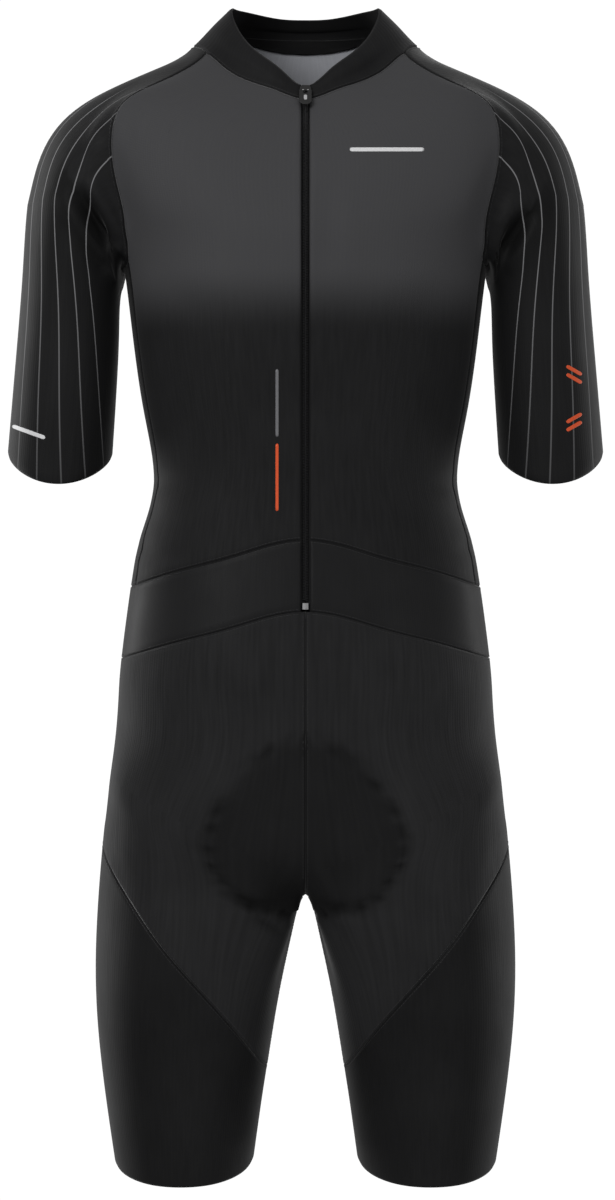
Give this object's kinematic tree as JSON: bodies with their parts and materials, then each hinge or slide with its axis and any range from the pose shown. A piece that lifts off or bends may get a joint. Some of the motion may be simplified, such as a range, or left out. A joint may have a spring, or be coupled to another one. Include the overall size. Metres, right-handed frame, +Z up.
{
  "type": "cycling skinsuit in its worn form",
  "caption": "Short-sleeved one-piece cycling skinsuit with raglan sleeves, a stand-up collar, a front zip and a padded seat, hollow, in the form it has when worn.",
  "frame": {"origin": "on the wearer's centre line, midway between front and back, at the height where the shoulders beside the neck carry the suit", "axes": "+X towards the wearer's left, -Y out of the front, +Z up"},
  "size_m": [0.514, 0.2438, 1.002],
  "materials": {
    "upper_cloth": "charcoal stretch knit with a soft sheen",
    "side_cloth": "near-black stretch knit",
    "band_cloth": "smooth near-black band",
    "shorts_cloth": "near-black stretch knit",
    "leg_cloth": "black stretch knit, raw cut at the hem",
    "sleeve_cloth": "near-black stretch knit with pale pinstripes",
    "collar_cloth": "black knit",
    "black_tape": "black woven tape",
    "pad": "black foam pad with a knit face",
    "zip_coil": "black moulded coil",
    "slider_metal": "black enamel, pale metal where bare",
    "stop_metal": "dull grey"
  },
  "bodies": {
    "suit": {"back_panel": "upper_cloth", "collar": "collar_cloth", "front_left": "upper_cloth", "front_right": "upper_cloth", "leg_left": "leg_cloth", "leg_right": "leg_cloth", "neck_tape": "black_tape", "seat_pad": "pad", "shorts_back_left": "shorts_cloth", "shorts_back_right": "shorts_cloth", "shorts_front_left": "shorts_cloth", "shorts_front_right": "shorts_cloth", "side_left": "side_cloth", "side_right": "side_cloth", "sleeve_left": "sleeve_cloth", "sleeve_right": "sleeve_cloth", "waist_back": "band_cloth", "waist_front_left": "band_cloth", "waist_front_right": "band_cloth", "zip_bottom_stop": "stop_metal", "zip_slider": "slider_metal", "zip_tape_left": "black_tape", "zip_tape_right": "black_tape", "zip_teeth": "zip_coil"},
    "pull_tab": {"zip_pull_tab": "slider_metal"}
  },
  "joints": [
    {"name": "pull_tab_hinge", "type": "hinge", "parent": "suit", "child": "pull_tab", "pos_m": [0, -0.08379, -0.02886], "axis": [-1, 0, 0], "range_deg": [0, 150]}
  ]
}
